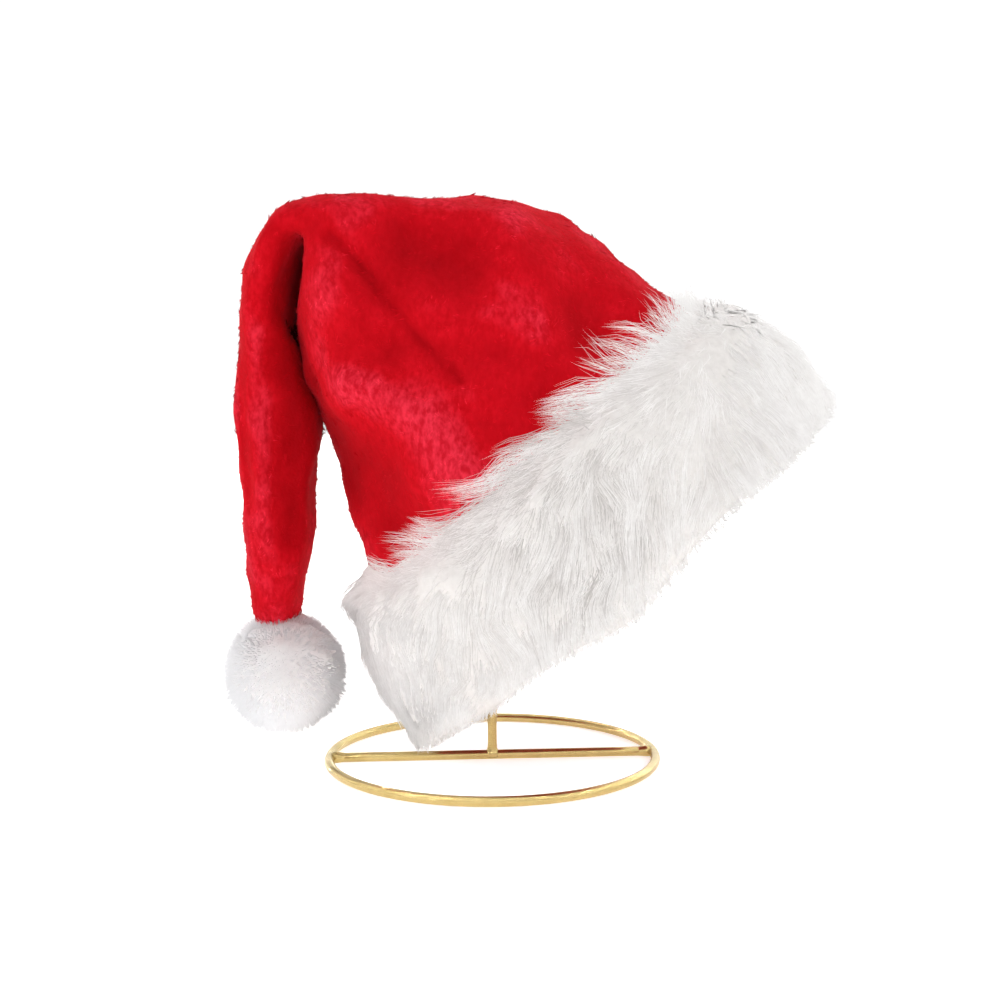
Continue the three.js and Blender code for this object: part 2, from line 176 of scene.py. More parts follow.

# Strands of the fur by layers, in millimetres. sector and shares are the parts of the turn and of the band's
# width that they grow on, gather how far they meet in tufts, edge_loss how much shorter the fringe is, and
# shade how pale the layer is: the layer under the others is darker, as painted shadow.
LONG_FUR = {
    "shares": (-0.05, 1.02), "count": 5600, "steps": 4, "radius": 0.2, "length": 27, "rise": (0.93, 1.07),
    "tufts": 300, "gather": 0.55, "frizz": 0.7, "edge_loss": 0.45, "shade": 1,
}
FUR_LAYERS = [
    {
        "name": "fur_under", "sector": (0, 1), "shares": (0.03, 1.04), "count": 9000, "steps": 2,
        "radius": 0.3, "length": 16, "rise": (0.88, 1.0),
        "tufts": 2600, "gather": 0.3, "frizz": 1.6, "edge_loss": 0.45, "shade": 0.6,
    },
    {"name": "fur_right", "sector": (-0.1667, 0.1667), **LONG_FUR},
    {"name": "fur_back", "sector": (0.1667, 0.5), **LONG_FUR},
    {"name": "fur_front", "sector": (0.5, 0.8334), **LONG_FUR},
    {
        "name": "fur_fringe", "sector": (0, 1), "shares": (0.86, 1.06), "count": 5200, "steps": 3,
        "radius": 0.1, "length": 31, "rise": (0.6, 1.0),
        "tufts": 170, "gather": 0.76, "frizz": 1.5, "edge_loss": 0, "shade": 1,
    },
]
TUFT_UNEVEN = (0.25, 0.3)  # how unevenly long tufts are, and what the fringe adds to it
STRAND_UNEVEN = (0.2, 0.25)  # the same for strands within a tuft
RISE_SPREAD = (0.96, 1.03)
GATHER_CURVE = 1.4  # strands of a tuft meet mostly near their tips
BOW = 0.6  # how much of its frizz a strand also has in its middle
STRAND_TAPER = (1.0, 0.95, 0.8, 0.55)
RADIUS_SPREAD = (0.7, 1.2)
TONE_SPREAD = (0.9, 1)

# Short fur below and inside the hem
SHORT_LENGTH = 5 * MM
SHORT_RADIUS = 0.24 * MM
SHORT_TAPER = (1.0, 0.85)
SHORT_SHARE = 0.95  # it grows down to this share of the hem's drop
LIP = {"count": 4200, "sink": 2 * MM, "lean": 1.4, "stray": 0.25, "lengths": (0.7, 1.2)}
INNER = {"count": 2400, "sink": 1.5 * MM, "lean": 0.8, "stray": 0.3, "lengths": (0.6, 1.1)}

# Folds of the crown's front and back, each along a line of x and z in millimetres: half its breadth, and how
# far the cloth stands out there, negative for a dent. The same heights also give the painted shade in dents
# and the painted highlight on ridges.
FACE_SIDES = {"front": -1, "back": 1}
FOLDS = {
    "front": [
        Fold([(-67, 241), (-58, 230), (-40, 211), (-25, 194), (-12, 180)], 2.8, -4),
        Fold([(-33, 232), (-8, 230)], 20, -4.8),
        Fold([(-70, 225), (-72, 196), (-67, 183)], 11, 2),
        Fold([(-62, 193), (-40, 192)], 8, -4),
        Fold([(-61, 176), (-38, 167), (-19, 154), (-9, 139)], 10, 5),
        Fold([(-61, 158), (-50, 139), (-45, 118)], 11, -5),
        Fold([(10, 252), (7, 231), (4, 217)], 9, 3),
        Fold([(40, 212), (44, 198)], 14, -3.5),
        Fold([(-25, 213), (13, 200)], 9, 2),
        Fold([(-8, 190), (4, 191)], 10, -2.5),
        Fold([(-21, 141), (-15, 111)], 9, 2.5),
        Fold([(-4, 154), (29, 170)], 12, -2.5),
        Fold([(-72, 259), (-20, 259), (8, 259)], 9, 2),
        Fold([(-117, 205), (-118, 130), (-113, 90)], 5, 3),
        Fold([(-110, 205), (-111, 130)], 3, -2.5),
        Fold([(-102, 200), (-103, 110)], 5, 2.5),
        Fold([(-89, 222), (-89, 190), (-90, 110)], 7, -4.5),
        Fold([(-80, 176), (-70, 154), (-61, 130)], 7, -5),
    ],
    "back": [
        Fold([(-66, 240), (-34, 205), (8, 162)], 2.8, -4),
        Fold([(-28, 235), (-2, 224)], 18, -4.5),
        Fold([(-68, 206), (-57, 182)], 13, 3),
        Fold([(-62, 167), (-30, 150), (-8, 126)], 10, 4.5),
        Fold([(-58, 150), (-40, 118)], 11, -4),
        Fold([(16, 250), (12, 214)], 10, 3),
        Fold([(36, 218), (46, 198)], 14, -3.5),
        Fold([(-72, 259), (-20, 259), (8, 259)], 9, 2),
        Fold([(-112, 200), (-113, 95)], 5, 2.5),
        Fold([(-103, 205), (-104, 125)], 3, -2.5),
        Fold([(-90, 215), (-92, 110)], 6, -3),
    ],
}
# Creases, where the tail and the crown keep the light from each other: like folds, but for the colour alone
CREASES = {
    "front": [
        Fold([(-93, 243), (-92, 200), (-88, 165), (-86, 120)], 5, -1.5),
        Fold([(-85, 186), (-76, 162), (-63, 134)], 5.5, -5.5),
    ],
    "back": [
        Fold([(-92, 240), (-88, 165), (-86, 120)], 6, -5),
        Fold([(-85, 186), (-63, 134)], 6, -5),
    ],
}
CREASE_END = 118 * MM  # creases fade away towards this height
CREASE_FADE = 50 * MM
RELIEF_SHADE_RANGE = 10  # millimetres from the darkest painted shade to the palest painted highlight
RELIEF_SHADE_MIDDLE = 0.6  # the colour of flat cloth, between those two
RELIEF_SHADE_WAVES = [Noise(30 * MM, 21, 0.6), Noise(12 * MM, 22, 0.4)]  # in millimetres
CLOTH_WAVES = [Noise(45 * MM, 11, 0.7 * MM), Noise(18 * MM, 14, 0.35 * MM)]

# The tail's inner side and the crown's left side lean on each other here
GAP_MIDDLE = -83 * MM
GAP_SLANT = -0.25
GAP_TOP = 173 * MM
GAP_HEIGHT = 26 * MM
GAP_BREADTH = 14 * MM
GAP_CLOSING = 3.6 * MM

# The outside of the tail's turn stands out further than the solid, as x and z
TURN_PLACE = np.array((-0.114, 0.23))
TURN_REACH = np.array((0.018, 0.024))
TURN_SHIFT = 2.8 * MM

# Plush pile of the crown
PILE_COUNT = 48000
PILE_FROM = 0.85  # it starts at this share of the band's width
PILE_LENGTH = 3.4 * MM
PILE_LENGTHS = (0.7, 1.3)
PILE_RADIUS = 0.4 * MM
PILE_SOFTNESS = 0.88
PILE_SINK = 0.9 * MM
PILE_TUFTS = 5500
PILE_GATHER = 0.7
PILE_LEAN = 2.1  # how far spikes lean over, for each part that stands up
NAP_SLANT = 0.5  # the nap goes down, and to the rim's right by this much
NAP_SHARE = 0.5  # how much of it there is in the lean
NAP_STRAY = 0.4
NAP_TILT = 0.4  # how far a clump of pile is shaded as facing the way it leans
NAP_PATCHES = [Noise(26 * MM, 31, 0.5), Noise(9 * MM, 41, 0.45)]
RUFFLED_RELIEF = (0.45, 0.8)  # pile is smooth in dents, and more and more ruffled between these
RUFFLE = (0.02, 0.1)  # how much clumps differ in shade where it is smooth, and where it is ruffled
CLUMP_SPREAD = 1.7
CLUMP_TONE = 0.85  # the tone of a clump's tips
CLUMP_CONTRAST = 1.5  # how far its own shade changes that
CLUMP_DARKEST = 0.2
STREAKS = [Noise(5 * MM, 33, 0.05)]
STREAK_SPREAD = 0.06
HEM_TOP = 0.079  # below this height the tail's pile hangs over the pompom
HEM_DEPTH = 9 * MM
HEM_LEFT = -0.08
HEM_LOSS = 0.75  # the share of its own way that pile loses there
HEM_LENGTHENING = 0.5
HEM_EXTRA = 2.0  # and there is more of it, by this many times

# Pompom
POMPOM_CENTRE = np.array((-0.0986, 0, 0.044))
POMPOM_RADIUS = 30.5 * MM
POMPOM_CORE = 24 * MM
POMPOM_STRANDS = 9000
POMPOM_STRAND_RADIUS = 0.36 * MM
POMPOM_TUFTS = 900
POMPOM_GATHER = 0.18
POMPOM_STRAY = 0.03  # how far strands grow from their even places
POMPOM_FRIZZ = 0.06
POMPOM_LENGTHS = (0.94, 1.01)  # as shares of the radius
POMPOM_SINK = 2 * MM
POMPOM_SAG = 1.2 * MM
POMPOM_SOFTNESS = 0.9
POMPOM_SKYWARD = 1.1
POMPOM_LUMPS = [Noise(1.6, 73, 0.02), Noise(0.7, 74, 0.012)]  # as shares of the radius
CORE_SWELL = 2 * MM
CORE_LUMPS = [Noise(0.5, 71, 0.5 * MM), Noise(0.2, 72, 0.35 * MM)]
CORE_DETAIL = 4
TAIL_TIP = np.array((-0.1027, 0, 0.068))
TAIL_SPREAD = math.radians(15)  # no strands grow as close as this to the tail
GOLDEN_ANGLE = math.pi * (3 - math.sqrt(5))

# Stand
WIRE_RADIUS = 2.25 * MM
RING_RADIUS = 77.75 * MM
CROSSBAR_TURN = math.radians(3)
KNOB_RADIUS = 13 * MM
POST_PLAIN = 12 * MM  # above this height the post has no solder
# Solder at the crossbar's ends and at the post's foot, as distances from the joint
END_SOLDER = {
    "away": WIRE_RADIUS * np.array((3.2, 2.7, 2.2, 1.6, 0.6)),
    "radius": WIRE_RADIUS * np.array((1.0, 1.06, 1.16, 1.3, 1.3)),
}
FOOT_SOLDER = {
    "away": WIRE_RADIUS * np.array((0.6, 1.5, 2.0, 2.6, 3.4)),
    "radius": WIRE_RADIUS * np.array((1.5, 1.42, 1.2, 1.06, 1.0)),
}
RING_STEPS = 144
ROD_STEPS = 9
KNOB_STEPS = 26
KNOB_SIDES = 40
WIRE_SIDES = 20
STEEP = 0.9  # a path that rises more than this is upright

RIGHT = np.array((1.0, 0, 0))
BACK = np.array((0.0, 1, 0))
UP = np.array((0.0, 0, 1))
DOWN = -UP
LEAST_LENGTH = 1e-12


def unit(vectors):
    """Vectors scaled to length 1 along their last axis."""
    return vectors / np.maximum(np.linalg.norm(vectors, axis=-1, keepdims=True), LEAST_LENGTH)


def dot(a, b):
    return (a * b).sum(axis=-1)


def smooth(x):
    """Eases from 0 to 1."""
    x = np.clip(x, 0, 1)
    return x * x * (3 - 2 * x)


def between(value, limits):
    """0 at the first limit and 1 at the second."""
    return (value - limits[0]) / (limits[1] - limits[0])


def waves(points, size, seed, count=7):
    """Smooth noise of about unit spread, whose bumps are about half of size across."""
    shape = np.random.default_rng(seed)
    ways = unit(shape.normal(size=(count, 3))) * (FULL_TURN / size)
    turns = shape.uniform(0, FULL_TURN, count)
    return np.sin(points @ ways.T + turns).sum(axis=-1) * math.sqrt(2 / count)


def wave_vectors(points, size, seed):
    return np.stack([waves(points, size, seed + k) for k in range(3)], axis=-1)


def summed(noise, points, rows):
    """Noise of several sizes; noise is waves or wave_vectors."""
    return sum(row.height * noise(points, row.size, row.seed) for row in rows)


def bulges(x, rows):
    """Rounded bulges along a line, added up."""
    return sum(row.height * np.exp(-(((x - row.place) / row.reach) ** 2)) for row in rows)


rim_middle = (RIM_RIGHT + RIM_LEFT) / 2
rim_way = unit(RIM_RIGHT - RIM_LEFT)
hat_axis = np.array((-rim_way[2], 0, rim_way[0]))


# Materials
def fill_sockets(holder, node, sockets):
    """Gives each named socket of a node a constant, or a link from another node's output."""
    for name, value in sockets.items():
        if isinstance(value, bpy.types.NodeSocket):
            holder.node_tree.links.new(value, node.inputs[name])
        else:
            node.inputs[name].default_value = value


def add_node(holder, kind, sockets, **settings):
    """A new node of a material or of the world."""
    node = holder.node_tree.nodes.new("ShaderNode" + kind)
    for setting, value in settings.items():
        setattr(node, setting, value)
    fill_sockets(holder, node, sockets)
    return node


def new_material(name):
    material = bpy.data.materials.new(name)
    material.use_nodes = True
    return material


def finished(material, sockets):
    """The material, with the sockets of its own shader filled."""
    shader = next(n for n in material.node_tree.nodes if n.type == "BSDF_PRINCIPLED")
    fill_sockets(material, shader, sockets)
    return material


def noise_node(material, scale, detail, roughness=0.6, height_scale=1.0):
    """Noise over the object's own places. A height scale below 1 draws it out upwards."""
    place = add_node(material, "TexCoord", {}).outputs["Object"]
    stretch = add_node(material, "Mapping", {"Vector": place, "Scale": (1, 1, height_scale)})
    places = stretch.outputs["Vector"]
    sockets = {"Vector": places, "Scale": scale, "Detail": detail, "Roughness": roughness}
    return add_node(material, "TexNoise", sockets).outputs["Fac"]


def ramp_node(material, factor, stops):
    ramp = add_node(material, "ValToRGB", {"Fac": factor})
    elements = ramp.color_ramp.elements
    while len(elements) < len(stops):
        elements.new(0.5)  # all places are set below
    for element, (place, colour) in zip(elements, stops):
        element.position = place
        element.color = (*colour, 1)
    return ramp.outputs["Color"]


def value_node(material, name):
    """A number that the mesh holds for each of its points."""
    return add_node(material, "Attribute", {}, attribute_name=name).outputs["Fac"]


def range_node(holder, value, start=(0, 1), end=(0, 1)):
    """A value moved from one range to another."""
    sockets = {"Value": value, "From Min": start[0], "From Max": start[1], "To Min": end[0], "To Max": end[1]}
    return add_node(holder, "MapRange", sockets).outputs["Result"]


def mix_node(material, factor, first, second, blend="MIX"):
    sockets = {"Factor": factor, "A": first, "B": second}
    return add_node(material, "Mix", sockets, data_type="RGBA", blend_type=blend).outputs["Result"]


def multiply_node(material, first, second):
    return mix_node(material, 1.0, first, second, "MULTIPLY")


def bump_node(material, height, strength, distance):
    sockets = {"Height": height, "Strength": strength, "Distance": distance}
    return add_node(material, "Bump", sockets).outputs["Normal"]


def plush_material():
    """Red pile, with painted shade at its roots and in dents and creases, and a painted highlight on ridges.
    """
    material = new_material("plush_red")
    nap = noise_node(material, scale=420, detail=2, roughness=0.65, height_scale=0.55)
    smoothed = ramp_node(material, nap, PLUSH_SMOOTHED)
    ruffled = ramp_node(material, nap, PLUSH_RUFFLED)
    height = value_node(material, "relief_shade")
    fine = mix_node(material, range_node(material, height, RUFFLED_RELIEF), smoothed, ruffled)
    depth = ramp_node(material, value_node(material, "tip"), PLUSH_ROOT_SHADE)
    relief_shade = ramp_node(material, height, PLUSH_RELIEF_SHADE)
    grain = noise_node(material, scale=900, detail=3)
    sockets = {
        "Base Color": multiply_node(material, multiply_node(material, fine, depth), relief_shade),
        "Normal": bump_node(material, grain, strength=0.5, distance=0.6 * MM),
        "Roughness": 0.85,
        "Sheen Weight": 0.12,
        "Sheen Roughness": 0.4,
        "Sheen Tint": PLUSH_SHEEN,
        "Specular IOR Level": 0.03,
    }
    return finished(material, sockets)


def lining_material():
    material = new_material("cloth_inside")
    grain = noise_node(material, scale=1600, detail=2)
    sockets = {
        "Base Color": ramp_node(material, noise_node(material, scale=700, detail=2), LINING_RED),
        "Normal": bump_node(material, grain, strength=0.6, distance=0.3 * MM),
        "Roughness": 0.9,
        "Sheen Weight": 0.2,
        "Specular IOR Level": 0.15,
    }
    return finished(material, sockets)


def fur_material(name, colours):
    """White fur, with painted shade at its roots and between its locks, for the shadows its strands don't
    cast.
    """
    material = new_material(name)
    fine = ramp_node(material, noise_node(material, scale=300, detail=3), colours)
    depth = ramp_node(material, value_node(material, "tip"), FUR_ROOT_SHADE)
    sockets = {
        "Base Color": multiply_node(material, fine, depth),
        "Roughness": 0.6,
        "Specular IOR Level": 0.1,
    }
    return finished(material, sockets)


def gold_material():
    material = new_material("gold_wire")
    wear = noise_node(material, scale=260, detail=4)
    grain = noise_node(material, scale=400, detail=2)
    sockets = {
        "Base Color": ramp_node(material, noise_node(material, scale=120, detail=4), GOLD),
        "Normal": bump_node(material, grain, strength=0.03, distance=0.1 * MM),
        "Roughness": range_node(material, wear, end=GOLD_ROUGHNESS),
        "Metallic": 0.85,
    }
    return finished(material, sockets)


def floor_material():
    material = new_material("floor")
    sockets = {
        "Base Color": ramp_node(material, noise_node(material, scale=3, detail=2), FLOOR_WHITE),
        "Roughness": 0.9,
        "Specular IOR Level": 0,
        "Emission Color": (*WHITE, 1),
        "Emission Strength": FLOOR_GLOW,
    }
    return finished(material, sockets)


# Pieces
def piece(name, mesh, materials, replaced):
    """An object of the hat or the stand, riding on its one body."""
    for material in materials:
        mesh.materials.append(material)
    made = bpy.data.objects.new(name, mesh)
    bpy.context.scene.collection.objects.link(made)
    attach(made, "root")
    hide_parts(replaced)
    return made


def fibres(name, mesh, material, replaced):
    """Fine fibres let the light through, so they cast no shadow on each other or on the cloth."""
    made = piece(name, mesh, [material], replaced)
    made.visible_shadow = False
    made.visible_diffuse = False
    return made


def smooth_faces(mesh):
    mesh.polygons.foreach_set("use_smooth", np.ones(len(mesh.polygons), dtype=bool))
    mesh.update()


def add_values(mesh, name, values):
    """A number for each point, for the materials."""
    mesh.attributes.new(name, "FLOAT", "POINT").data.foreach_set("value", values.ravel().astype(np.float32))


def vertex_arrays(mesh):
    points = np.empty(len(mesh.vertices) * 3)
    mesh.vertices.foreach_get("co", points)
    normals = np.empty(len(mesh.vertices) * 3)
    mesh.vertices.foreach_get("normal", normals)
    return points.reshape(-1, 3), normals.reshape(-1, 3)


def nearest(points, others):
    """For each point, the nearest of the others."""
    tree = KDTree(len(others))
    for i, other in enumerate(others):
        tree.insert(other, i)
    tree.balance()
    return np.array([tree.find(point)[1] for point in points])


def strand_mesh(name, paths, radii, outward, softness, tones):
    """Closed, tapered strands along paths, which are (strand, point, 3). radii are for every point but the
    tip, and outward is the way that a strand's back faces. softness is how far strands are shaded as the
    surface that they form together, and tones is how pale their roots and tips are, as painted shade deep
    in the fur."""
    sides = 3
    count, points, _ = paths.shape
    rings = points - 1
    along = unit(np.gradient(paths, axis=1)[:, :rings])
    side = unit(np.cross(along, outward[:, None]))
    lift = np.cross(along, side)
    turns = (math.pi / 2 + np.arange(sides) * FULL_TURN / sides)[:, None]
    faced = np.cos(turns) * side[:, :, None] + np.sin(turns) * lift[:, :, None]
    corners = paths[:, :rings, None] + radii[..., None, None] * faced
    tip = rings * sides
    whole = np.concatenate([corners.reshape(count, tip, 3), paths[:, rings:]], axis=1)
    shaded = np.concatenate([faced.reshape(count, tip, 3), along[:, -1:]], axis=1)
    shaded = unit(shaded * (1 - softness) + outward[:, None] * softness)
    one = [(0, 2, 1)]
    for a in range(tip):
        b = a + 1 if (a + 1) % sides else a + 1 - sides
        if a + sides < tip:
            one += [(a, b, b + sides), (a, b + sides, a + sides)]
        else:
            one.append((a, b, tip))
    faces = np.array(one)[None] + (np.arange(count) * (tip + 1))[:, None, None]
    mesh = bpy.data.meshes.new(name)
    mesh.from_pydata(whole.reshape(-1, 3).tolist(), [], faces.reshape(-1, 3).tolist())
    smooth_faces(mesh)
    mesh.normals_split_custom_set_from_vertices(shaded.reshape(-1, 3).tolist())
    # The tip value is painted shade, from the roots' tone to the tips' tone along each strand
    along_strand = np.append(np.repeat(np.arange(rings), sides), rings) / rings
    root_tone, tip_tone = (np.broadcast_to(tone, count)[:, None] for tone in tones)
    add_values(mesh, "tip", root_tone + (tip_tone - root_tone) * along_strand)
    return mesh


def add_tube(whole, rows, closed=False):
    """A skin over loops of points: closed to a ring, or with a cap at each end."""
    count, around, _ = rows.shape
    points = [whole.verts.new(p) for p in rows.reshape(-1, 3)]
    for row in range(count if closed else count - 1):
        below = row * around
        above = (row + 1) % count * around
        for i in range(around):
            after = (i + 1) % around
            corners = (below + i, below + after, above + after, above + i)
            whole.faces.new([points[corner] for corner in corners])
    if not closed:
        whole.faces.new(points[around - 1 :: -1])
        whole.faces.new(points[-around:])


def mesh_of(name, whole):
    """A smooth mesh of what was put together."""
    mesh = bpy.data.meshes.new(name)
    whole.to_mesh(mesh)
    whole.free()
    smooth_faces(mesh)
    return mesh


# The crown's cloth
OUTSIDE, INSIDE = 0, 1
RIM_TOLERANCE = 0.1 * MM
WELD_DISTANCE = 0.01 * MM
QUAD_ANGLE = math.radians(60)
CROWN_LEVELS = 2


def axis_height(points):
    return (points - rim_middle) @ hat_axis


def distance_to_line(points, line):
    """How far points lie from a line of several straight parts, all in one plane."""
    least = np.full(len(points), np.inf)
    for start, end in zip(line[:-1], line[1:]):
        way = end - start
        share = np.clip((points - start) @ way / (way @ way), 0, 1)
        least = np.minimum(least, np.linalg.norm(points - start - share[:, None] * way, axis=1))
    return least


def ridge(points, row):
    """1 along a fold's line, and less away from it."""
    away = distance_to_line(points[:, [0, 2]] / MM, np.array(row.line, float))
    return np.exp(-((away / row.width) ** 2))


def smoothed_crown():
    """The crown's solid, subdivided. Slot 0 is its outside and slot 1 its inside."""
    shell = bmesh.new()
    shell.from_mesh(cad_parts["crown"].data)
    bmesh.ops.remove_doubles(shell, verts=shell.verts, dist=WELD_DISTANCE)
    on_rim = {v for v in shell.verts if abs(axis_height(np.array(v.co))) < RIM_TOLERANCE}
    top = max(shell.verts, key=lambda v: v.co.z)
    outside = {top.link_faces[0]}
    waiting = list(outside)
    while waiting:
        for edge in waiting.pop().edges:
            for face in edge.link_faces:
                if face not in outside and not all(v in on_rim for v in face.verts):
                    outside.add(face)
                    waiting.append(face)
    for face in shell.faces:
        face.material_index = OUTSIDE if face in outside else INSIDE
    limits = {"angle_face_threshold": QUAD_ANGLE, "angle_shape_threshold": QUAD_ANGLE}
    bmesh.ops.join_triangles(shell, faces=shell.faces[:], cmp_materials=True, **limits)
    plain = bpy.data.meshes.new("crown_plain")
    plain.materials.append(None)
    plain.materials.append(None)
    shell.to_mesh(plain)
    shell.free()
    holder = bpy.data.objects.new("crown_holder", plain)
    bpy.context.scene.collection.objects.link(holder)
    holder.modifiers.new("smooth", "SUBSURF").levels = CROWN_LEVELS
    mesh = bpy.data.meshes.new_from_object(holder.evaluated_get(bpy.context.evaluated_depsgraph_get()))
    bpy.data.objects.remove(holder)
    bpy.data.meshes.remove(plain)
    mesh.materials.clear()
    return mesh


def crown_mesh():
    """The smoothed crown with its folds and soft unevenness, and a value for the painted shade in dents and
    creases and the painted highlight on ridges.
    """
    mesh = smoothed_crown()
    points, normals = vertex_arrays(mesh)
    from_gap = points[:, 0] - GAP_MIDDLE - GAP_SLANT * (points[:, 2] - GAP_TOP)
    closing = np.exp(-(((points[:, 2] - GAP_TOP) / GAP_HEIGHT) ** 2) - (from_gap / GAP_BREADTH) ** 2)
    points[:, 0] -= np.sign(from_gap) * closing * GAP_CLOSING
    from_turn = (points[:, [0, 2]] - TURN_PLACE) / TURN_REACH
    points[:, 0] -= TURN_SHIFT * np.exp(-dot(from_turn, from_turn))
    # Painted shade in dents and creases and a painted highlight on ridges, from the fold heights
    relief_shade = np.zeros(len(points))
    for face, side in FACE_SIDES.items():
        for fold in FOLDS[face]:
            facing = np.where(points[:, 1] * side > 0, np.sqrt(np.abs(normals[:, 1])), 0)
            height = fold.height * ridge(points, fold) * facing
            points[:, 1] += side * height * MM
            relief_shade += height
    for face, side in FACE_SIDES.items():
        faded = smooth((points[:, 2] - CREASE_END) / CREASE_FADE) * (points[:, 1] * side > 0)
        for crease in CREASES[face]:
            relief_shade += crease.height * ridge(points, crease) * faded
    relief_shade += summed(waves, points, RELIEF_SHADE_WAVES)
    add_values(mesh, "relief_shade", np.clip(RELIEF_SHADE_MIDDLE + relief_shade / RELIEF_SHADE_RANGE, 0, 1))
    points += summed(wave_vectors, points, CLOTH_WAVES)
    mesh.vertices.foreach_set("co", points.ravel())
    smooth_faces(mesh)
    return mesh


def pile_chance(points):
    """Pile grows where the fur band doesn't cover the cloth, and is thickest at the tail's hem."""
    shown = axis_height(points) / BAND_WIDTH > PILE_FROM
    hem = (points[:, 2] < HEM_TOP) & (points[:, 0] < HEM_LEFT)
    return shown + HEM_EXTRA * hem


def pile_roots(mesh):
    """Random points on the cloth's outside, with their normals and their painted shade of dents and ridges.
    """
    mesh.calc_loop_triangles()
    total = len(mesh.loop_triangles)
    corners = np.empty(total * 3, np.int32)
    mesh.loop_triangles.foreach_get("vertices", corners)
    slots = np.empty(total, np.int32)
    mesh.loop_triangles.foreach_get("material_index", slots)
    corners = corners.reshape(-1, 3)[slots == OUTSIDE]
    points, normals = vertex_arrays(mesh)
    a, b, c = (points[corners[:, k]] for k in range(3))
    areas = np.linalg.norm(np.cross(b - a, c - a), axis=1) * pile_chance((a + b + c) / 3)
    picked = corners[draw.choice(len(corners), PILE_COUNT, p=areas / areas.sum())]
    u = draw.random(PILE_COUNT)
    v = draw.random(PILE_COUNT)
    over = u + v > 1
    u[over] = 1 - u[over]
    v[over] = 1 - v[over]
    shares = np.stack([1 - u - v, u, v], axis=1)[..., None]
    relief_shade = np.empty(len(points), np.float32)
    mesh.attributes["relief_shade"].data.foreach_get("value", relief_shade)
    return (
        (points[picked] * shares).sum(axis=1),
        unit((normals[picked] * shares).sum(axis=1)),
        (relief_shade[picked] * shares[..., 0]).sum(axis=1),
    )


def pile_mesh(name, roots, normals, relief_shade):
    """Short spikes of pile that lean in soft patches."""
    nap = unit(DOWN + NAP_SLANT * rim_way)
    lean = nap * NAP_SHARE + summed(wave_vectors, roots, NAP_PATCHES)
    lean = lean + draw.normal(size=roots.shape) * NAP_STRAY
    lean = unit(lean - normals * dot(lean, normals)[:, None])
    way = unit(normals + PILE_LEAN * lean)
    hem = smooth((HEM_TOP - roots[:, 2]) / HEM_DEPTH) * (roots[:, 0] < HEM_LEFT)
    way = unit(way * (1 - HEM_LOSS * hem[:, None]) + DOWN * hem[:, None])
    length = PILE_LENGTH * draw.uniform(*PILE_LENGTHS, len(roots)) * (1 + HEM_LENGTHENING * hem)
    foot = roots - normals * PILE_SINK
    tips = foot + way * length[:, None]
    leaders = draw.choice(len(roots), PILE_TUFTS, replace=False)
    leader = leaders[nearest(roots, roots[leaders])]
    tips += (tips[leader] - tips) * PILE_GATHER
    paths = np.stack([foot, tips], axis=1)
    radii = np.full((len(roots), 1), PILE_RADIUS)
    least, most = RUFFLE
    clumps = draw.uniform(-CLUMP_SPREAD, CLUMP_SPREAD, len(roots))[leader]
    clumps *= least + (most - least) * smooth(between(relief_shade, RUFFLED_RELIEF))
    # Roots get the darkest painted shade; the tips of clumps differ in tone at random
    tones = (0, np.clip(CLUMP_TONE + CLUMP_CONTRAST * clumps, CLUMP_DARKEST, 1))
    mesh = strand_mesh(name, paths, radii, unit(normals + NAP_TILT * lean[leader]), PILE_SOFTNESS, tones)
    streaks = summed(waves, roots, STREAKS) + clumps + STREAK_SPREAD * draw.normal(size=len(roots))
    relief_shade = np.clip(relief_shade + streaks, 0, 1)
    add_values(mesh, "relief_shade", np.repeat(relief_shade, len(mesh.vertices) // len(roots)))
    return mesh


# The fur band's places: an angle, 0 at the right end and a quarter turn at the back, and a share of its width
ANGLE_STEPS, SHARE_STEPS = 256, 48
TOP_SHARE = 1.5
START_AWAY = 12 * MM
EVENING_ROUNDS = 4
LOWEST_CAST = 0.08  # rays keep this share of the width away from the rim's rounded edge


def left_end(angle):
    return np.exp(-(((1 + np.cos(angle)) / LEFT_BREADTH) ** 2))


def rightness(angle):
    """1 at the right end and 0 at the left."""
    return (1 + np.cos(angle)) / 2


def band_width(angle):
    return BAND_WIDTH + BAND_WIDTH_EXTRA * np.cos(angle) + LEFT_WIDENING * left_end(angle)


def hem_drop(angle):
    drop = HEM_DROP - HEM_DROP_EXTRA * np.cos(angle)
    for row in HEM_RIPPLES:
        drop = drop + row["drop"] * np.sin(row["count"] * angle + row["start"])
    return drop + bulges(angle % FULL_TURN, HEM_WAVES)


def shoulder(share):
    """How much of the backing's thickness is left towards its upper edge."""
    past = np.clip(between(share, SHOULDER), 0, 1)
    return np.sqrt(1 - past**2)


